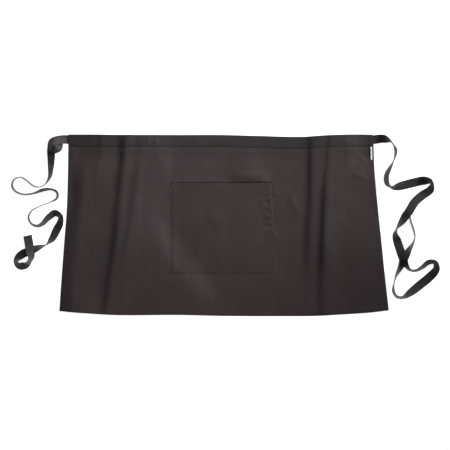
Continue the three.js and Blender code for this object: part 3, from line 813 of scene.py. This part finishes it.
def make_tie(name, side, rows):
    """A tie and the points that its middle follows."""
    end = WAIST_LEFT if side < 0 else WAIST_RIGHT
    level = upper_edge(0 if side < 0 else 1) - TAPE_INSET
    root_lift = FOLD_REACH - TAPE_THICKNESS / 2
    straight = [dict(out=out, down=0, roll=0, lift=root_lift) for out in (-TAPE_ROOT, 0, 2 * TAPE_THICKNESS)]
    route = straight + rows
    places = [Vector((end + side * row["out"], level - row["down"], 0)) for row in route]
    turns = [Vector((row["roll"], row["lift"], 0)) for row in route]
    count = (len(route) - 1) * TIE_FINENESS
    middles, rolls, runs = [], [], [0]
    for i in range(count + 1):
        point = spline(places, i / TIE_FINENESS)
        roll, lift, _ = spline(turns, i / TIE_FINENESS, even=True)
        roll = math.radians(roll)
        half = (TAPE_WIDTH * abs(math.sin(roll)) + TAPE_THICKNESS * abs(math.cos(roll))) / 2
        point.z = max(0, lift) + half
        if middles:
            runs.append(runs[-1] + (point - middles[-1]).length)
        middles.append(point)
        rolls.append(roll)
    up = Vector((0, 0, 1))

    def place(i, to_left):
        run = (middles[min(i + 1, count)] - middles[max(i - 1, 0)]).normalized()
        level_way = up.cross(run).normalized()
        over = run.cross(level_way)
        width = level_way * math.cos(rolls[i]) + over * math.sin(rolls[i])
        normal = run.cross(width)
        middle = middles[i] + width * (to_left * TAPE_WIDTH / 2)
        half = TAPE_THICKNESS / 2 * (0.55 + 0.45 * rounded(1 - abs(to_left), 0.14))
        return tuple(middle - normal * half), tuple(middle + normal * half)

    def lay_flat(i, to_left):
        return to_left * TAPE_WIDTH / 2, runs[i]

    tie = wall(name, range(count + 1), TIE_COLUMNS, place, lay_flat)
    return tie, [tuple(point * MM) for point in middles]


# Label: a blank flap caught in the right side hem
def make_label():
    top = LABEL_HIGH[1]
    length = LABEL_HIGH[1] - LABEL_LOW[1]

    def place(u, v):
        y = top - length * v
        x = right_edge(down_at(y)) - LABEL_INSET - LABEL_WIDTH * (1 - u)
        base = panel_over(x, y) + GAP + LABEL_LIFT * (1 - u) ** 2 + 0.25 * math.sin(v * 5)
        loft = LABEL_THICKNESS * rounded(min(u, 1 - u, v, 1 - v) * LABEL_WIDTH, 0.5)
        return (x, y, base), (x, y, base + loft)

    us = [0, 0.03, 0.1, 0.25, 0.4, 0.55, 0.7, 0.85, 0.94, 1]
    vs = [0, 0.01, 0.04, *[0.1 * i for i in range(1, 10)], 0.96, 0.99, 1]
    return wall("label_flap", us, vs, place, lambda u, v: (u * LABEL_WIDTH, -v * length))


# Stitches
STITCH_PITCH = 3.4
STITCH_LENGTH = 2.5
THREAD_RADIUS = 0.24
# Each ring of a stitch: its place along the stitch, and its radius and rise as shares of the thread's radius
STITCH_RINGS = [(-0.5, 0.45, -0.55), (-0.32, 0.95, 0.1), (0, 1, 0.35), (0.32, 0.95, 0.1), (0.5, 0.45, -0.55)]
STITCH_SIDES = 6


def add_stitch(vertices, faces, middle, way, length):
    """One stitch: a short thread that comes up out of the cloth and goes down again."""
    start = len(vertices)
    side_way = Vector((-way.y, way.x, 0))
    for along, radius, rise in STITCH_RINGS:
        centre = middle + way * (along * length) + Vector((0, 0, rise * THREAD_RADIUS))
        for i in range(STITCH_SIDES):
            angle = math.tau * i / STITCH_SIDES
            offset = side_way * math.cos(angle) + Vector((0, 0, 1)) * math.sin(angle)
            vertices.append(tuple(centre + offset * (radius * THREAD_RADIUS)))
    for ring in range(len(STITCH_RINGS) - 1):
        for i in range(STITCH_SIDES):
            a = start + ring * STITCH_SIDES + i
            b = start + ring * STITCH_SIDES + (i + 1) % STITCH_SIDES
            faces.append((a, b, b + STITCH_SIDES, a + STITCH_SIDES))
    faces.append(tuple(start + i for i in reversed(range(STITCH_SIDES))))
    last = start + (len(STITCH_RINGS) - 1) * STITCH_SIDES
    faces.append(tuple(last + i for i in range(STITCH_SIDES)))


def make_stitches(name, rows, pitch=STITCH_PITCH, length=STITCH_LENGTH):
    """Rows of stitches: each row is a line from 0 to 1 and its length, and gives points on the cloth."""
    vertices, faces = [], []
    for line, run in rows:
        count = int(run / pitch)
        for i in range(count):
            at = (i + 0.5) / count
            before, after = Vector(line(at - 0.3 / count)), Vector(line(at + 0.3 / count))
            add_stitch(vertices, faces, (before + after) / 2, (after - before).normalized(), length)
    return make_object(name, vertices, faces)


def side_row(right):
    inset = HEM_SIDE - STITCH_INSET

    def line(t):
        y = lerp(TOP - BAND_DEPTH - 3, BOTTOM + HEM_BOTTOM + 1, t)
        x = right_edge(down_at(y)) - inset if right else left_edge(down_at(y)) + inset
        return x, y, panel_over(x, y)

    return line, LENGTH - BAND_DEPTH - HEM_BOTTOM


def bottom_row():
    def line(t):
        x = lerp(-HALF_HEM + 3, HALF_HEM - 3, t)
        y = lower_edge(share(x, -HALF_HEM, HALF_HEM)) + HEM_BOTTOM - STITCH_INSET
        return x, y, panel_over(x, y)

    return line, 2 * HALF_HEM - 6


def band_row(above):
    def line(t):
        x = lerp(WAIST_LEFT + BAND_END_ROW, WAIST_RIGHT - BAND_END_ROW, t)
        y = band_lower(x) + above
        return x, y, band_over(x, y) - DIMPLE * 0.7

    return line, WAIST_WIDTH - 2 * BAND_END_ROW


def band_end_row(right):
    def line(t):
        x = WAIST_RIGHT - BAND_END_ROW if right else WAIST_LEFT + BAND_END_ROW
        y = lerp(band_lower(x) + 4, band_lower(x) + BAND_DEPTH - 4, t)
        return x, y, band_over(x, y) - DIMPLE * 0.8

    return line, BAND_DEPTH - 8


def pocket_row(start, end, sunk=0):
    """A row from one place of the pocket to another, each in mm from its left edge and its mouth."""
    def line(t):
        across, down = lerp(start[0], end[0], t), lerp(start[1], end[1], t)
        v = down / POCKET_HEIGHT
        u = across / (POCKET_WIDTH + POCKET_FLARE * v)
        return (*pocket_place(u, v), pocket_over(u, v) - sunk)

    return line, math.dist(start, end)


def pocket_rows():
    row = POCKET_ROW
    right = POCKET_WIDTH - row
    low_right = POCKET_WIDTH + POCKET_FLARE - row
    low = POCKET_HEIGHT - row
    second = POCKET_HEIGHT - POCKET_SECOND_ROW
    hem = POCKET_HEM - STITCH_INSET
    return [
        pocket_row((row, row), (row, low)),
        pocket_row((right, row), (low_right, low), POCKET_SUNK_ROW),
        pocket_row((row, low), (low_right, low)),
        pocket_row((row + 7, second), (low_right - 7, second)),
        pocket_row((row + 1, hem), (right - 1, hem)),
    ]


def tack_rows():
    """The bar tacks at the two corners of the mouth: two close rows beside the side seam."""
    places = [*TACKS, *mirrored(TACKS, POCKET_WIDTH)]
    return [pocket_row((across, 1.5), (across, POCKET_HEM - 3)) for across in places]


# Materials
GLOSS_TINT = (1, 0.88, 0.9)


def feed(tree, socket, value):
    if isinstance(value, bpy.types.NodeSocket):
        tree.links.new(value, socket)
    else:
        socket.default_value = value


def node(tree, kind, **inputs):
    made = tree.nodes.new(kind)
    for name, value in inputs.items():
        feed(tree, made.inputs[name.replace("_", " ")], value)
    return made


def math_node(tree, operation, *values):
    made = tree.nodes.new("ShaderNodeMath")
    made.operation = operation
    for socket, value in zip(made.inputs, values):
        feed(tree, socket, value)
    return made.outputs[0]


def mix_colour(tree, factor, dark, light):
    made = tree.nodes.new("ShaderNodeMix")
    made.data_type = "RGBA"
    tree.links.new(factor, made.inputs["Factor"])
    for name, colour in (("A", dark), ("B", light)):
        socket = next(s for s in made.inputs if s.name == name and s.type == "RGBA")
        socket.default_value = (*colour, 1)
    return next(s for s in made.outputs if s.type == "RGBA")


def bands(tree, flat, turn, pitch):
    """Sine bands over the cloth's flat coordinates, turned by turn degrees, one each pitch millimetres."""
    scale = math.tau / (20 * pitch * MM)
    mapping = node(tree, "ShaderNodeMapping", Vector=flat, Rotation=(0, 0, math.radians(turn)))
    wave = node(tree, "ShaderNodeTexWave", Vector=mapping.outputs[0], Scale=scale)
    return wave.outputs["Fac"]


def weave_material(name, dark, light, weave, pitch, roughness, sheen, bump=0.00022):
    """Woven cloth with bands at the two turns in weave. Its colour varies with them and in patches."""
    material = bpy.data.materials.new(name)
    material.use_nodes = True
    tree = material.node_tree
    shader = tree.nodes["Principled BSDF"]
    flat = node(tree, "ShaderNodeUVMap")
    flat.uv_map = "flat"
    place = flat.outputs[0]
    first = bands(tree, place, weave[0], pitch)
    second = bands(tree, place, weave[1], pitch * 0.62)
    threads = math_node(tree, "MULTIPLY", second, 0.35)
    height = math_node(tree, "ADD", math_node(tree, "MULTIPLY", first, 0.65), threads)
    slub = node(tree, "ShaderNodeTexNoise", Vector=place, Scale=420.0, Detail=3.0)
    patches = node(tree, "ShaderNodeTexNoise", Vector=place, Scale=14.0, Detail=4.0)
    fuzz = math_node(tree, "MULTIPLY", slub.outputs["Fac"], 0.35)
    tone = math_node(tree, "ADD", math_node(tree, "MULTIPLY", height, 0.45), fuzz)
    tone = math_node(tree, "ADD", tone, math_node(tree, "MULTIPLY", patches.outputs["Fac"], 0.3))
    colour = mix_colour(tree, tone, dark, light)
    tree.links.new(colour, shader.inputs["Base Color"])
    relief = math_node(tree, "ADD", height, fuzz)
    raised = node(tree, "ShaderNodeBump", Height=relief, Strength=0.5, Distance=bump)
    tree.links.new(raised.outputs[0], shader.inputs["Normal"])
    uneven = math_node(tree, "MULTIPLY_ADD", patches.outputs["Fac"], 0.12, roughness - 0.06)
    tree.links.new(uneven, shader.inputs["Roughness"])
    shader.inputs["Sheen Weight"].default_value = sheen
    shader.inputs["Sheen Roughness"].default_value = 0.5
    shader.inputs["Specular IOR Level"].default_value = 0.6
    shader.inputs["Specular Tint"].default_value = (*GLOSS_TINT, 1)
    return material


def plain_material(name, colour, roughness, glow):
    material = bpy.data.materials.new(name)
    material.use_nodes = True
    shader = material.node_tree.nodes["Principled BSDF"]
    shader.inputs["Base Color"].default_value = (*colour, 1)
    shader.inputs["Roughness"].default_value = roughness
    shader.inputs["Emission Color"].default_value = (1, 1, 1, 1)
    shader.inputs["Emission Strength"].default_value = glow
    return material


def thread_material(name, dark, light):
    """Sewing thread: fine noise between two close tones."""
    material = bpy.data.materials.new(name)
    material.use_nodes = True
    tree = material.node_tree
    shader = tree.nodes["Principled BSDF"]
    place = node(tree, "ShaderNodeTexCoord").outputs["Object"]
    grain = node(tree, "ShaderNodeTexNoise", Vector=place, Scale=900.0, Detail=2.0)
    tree.links.new(mix_colour(tree, grain.outputs["Fac"], dark, light), shader.inputs["Base Color"])
    raised = node(tree, "ShaderNodeBump", Height=grain.outputs["Fac"], Strength=0.4, Distance=0.0001)
    tree.links.new(raised.outputs[0], shader.inputs["Normal"])
    shader.inputs["Roughness"].default_value = 0.6
    shader.inputs["Sheen Weight"].default_value = 0.3
    return material


# Stage
def make_camera():
    camera = bpy.data.cameras.new("camera")
    camera.sensor_width = SENSOR
    camera.lens = SENSOR * CAMERA_DISTANCE / VIEW_WIDTH
    obj = bpy.data.objects.new("camera", camera)
    obj.location = (CAMERA_OVER[0] * MM, CAMERA_OVER[1] * MM, CAMERA_DISTANCE * MM)
    camera.clip_end = 100
    bpy.context.scene.collection.objects.link(obj)
    bpy.context.scene.camera = obj


def place_light(name, light, place, aim, flat=1):
    obj = bpy.data.objects.new(name, light)
    obj.location = place
    obj.scale = (1, flat, 1)
    obj.rotation_mode = "QUATERNION"
    obj.rotation_quaternion = (Vector(aim) - Vector(place)).to_track_quat("-Z", "Y")
    bpy.context.scene.collection.objects.link(obj)
    return obj


def make_key(name, lit, shading):
    """A key light for the pieces in lit, with shadows from the pieces in shading alone."""
    key = bpy.data.lights.new(name, "SPOT")
    key.energy = KEY_POWER
    key.shadow_soft_size = KEY_SIZE / 2
    key.spot_size = math.radians(KEY_CONE)
    key.spot_blend = 1
    obj = place_light(name, key, KEY_PLACE, KEY_AIM, KEY_FLAT)
    for use, pieces in ("receiver", lit), ("blocker", shading):
        group = bpy.data.collections.new(f"{name}_{use}")
        for piece in pieces:
            group.objects.link(piece)
        setattr(obj.light_linking, f"{use}_collection", group)


def make_top():
    top = bpy.data.lights.new("top", "AREA")
    top.shape = "DISK"
    top.energy = TOP_POWER
    top.size = TOP_SIZE
    place_light("top", top, TOP_PLACE, (0, 0, 0))


def make_floor():
    half = FLOOR_SIZE / 2 / MM
    corners = [(-half, -half, 0), (half, -half, 0), (half, half, 0), (-half, half, 0)]
    floor = make_object("floor", corners, [(0, 1, 2, 3)])
    floor.data.materials.append(plain_material("floor_paper", (0.85, 0.85, 0.85), 0.9, FLOOR_GLOW))
    return floor


def make_surround():
    world = bpy.data.worlds.new("surround")
    world.use_nodes = True
    background = world.node_tree.nodes["Background"]
    background.inputs["Color"].default_value = (1, 1, 1, 1)
    background.inputs["Strength"].default_value = SURROUND
    bpy.context.scene.world = world


def finish_piece(piece, material, node_name=None):
    piece.data.materials.append(material)
    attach(piece, "root")
    if node_name:
        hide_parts(node_name)


bpy.context.scene.view_settings.view_transform = "Standard"
make_camera()
make_top()
floor = make_floor()
make_surround()

TWILL_DARK = (0.022, 0.0155, 0.0172)
TWILL_LIGHT = (0.044, 0.033, 0.0355)
BAND_DARK = (0.0104, 0.0094, 0.0098)
BAND_LIGHT = (0.0214, 0.0199, 0.0206)
POCKET_DARK = (0.0202, 0.0143, 0.0158)
POCKET_LIGHT = (0.0402, 0.0303, 0.0326)
TAPE_DARK = (0.013, 0.0125, 0.0127)
TAPE_LIGHT = (0.03, 0.029, 0.0295)

twill = weave_material("twill", TWILL_DARK, TWILL_LIGHT, (58, -32), 0.75, 0.5, 0.05)
band_twill = weave_material("waistband_twill", BAND_DARK, BAND_LIGHT, (58, -32), 0.75, 0.5, 0.05)
pocket_twill = weave_material("pocket_twill", POCKET_DARK, POCKET_LIGHT, (58, -32), 0.75, 0.5, 0.05)
tape = weave_material("tape", TAPE_DARK, TAPE_LIGHT, (38, -38), 1.3, 0.6, 0.15, 0.0004)
satin = weave_material("label_satin", (0.7, 0.7, 0.69), (0.86, 0.86, 0.85), (0, 90), 0.3, 0.4, 0.1, 0.0001)
thread = thread_material("thread", (0.016, 0.013, 0.0138), (0.036, 0.03, 0.0315))
tack_thread = thread_material("tack_thread", (0.05, 0.043, 0.045), (0.1, 0.09, 0.093))

# Cords first
left_tie, left_path = make_tie("tie_tape_left", -1, [*LEFT_TIE_EXIT, *curl_rows(), *LEFT_TIE_ROUTE])
right_tie, right_path = make_tie("tie_tape_right", 1, RIGHT_TIE_ROUTE)
for piece, node_name, path, length, end, across in (
    (left_tie, "tie_left", left_path, 1.06, WAIST_LEFT, 0),
    (right_tie, "tie_right", right_path, 1.1, WAIST_RIGHT, 1),
):
    finish_piece(piece, tape, node_name)
    exit_point = (end * MM, (upper_edge(across) - TAPE_INSET) * MM, FOLD_REACH * MM)
    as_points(path)

# Cloth
panel = make_panel()
finish_piece(panel, twill, "panel")
waistband = make_waistband()
finish_piece(waistband, band_twill, "waistband")
pocket = make_pocket()
finish_piece(pocket, pocket_twill, "pocket")
label = make_label()
finish_piece(label, satin, "label")

hem_stitches = make_stitches("hem_stitches", [side_row(False), side_row(True), bottom_row()])
finish_piece(hem_stitches, thread)
band_stitches = make_stitches(
    "waistband_stitches",
    [*[band_row(above) for above in BAND_ROWS], band_end_row(False), band_end_row(True)],
)
finish_piece(band_stitches, thread)
pocket_stitches = make_stitches("pocket_stitches", pocket_rows())
finish_piece(pocket_stitches, thread)
tacks = make_stitches("bar_tacks", tack_rows(), 1.1, 1.6)
finish_piece(tacks, tack_thread)

# The ties' long shadows stay off the cloth: it has a key light of its own
cloth = [panel, waistband, pocket, label, hem_stitches, band_stitches, pocket_stitches, tacks]
make_key("key_cloth", cloth, cloth)
make_key("key_beside", [left_tie, right_tie, floor], [left_tie, right_tie, *cloth])
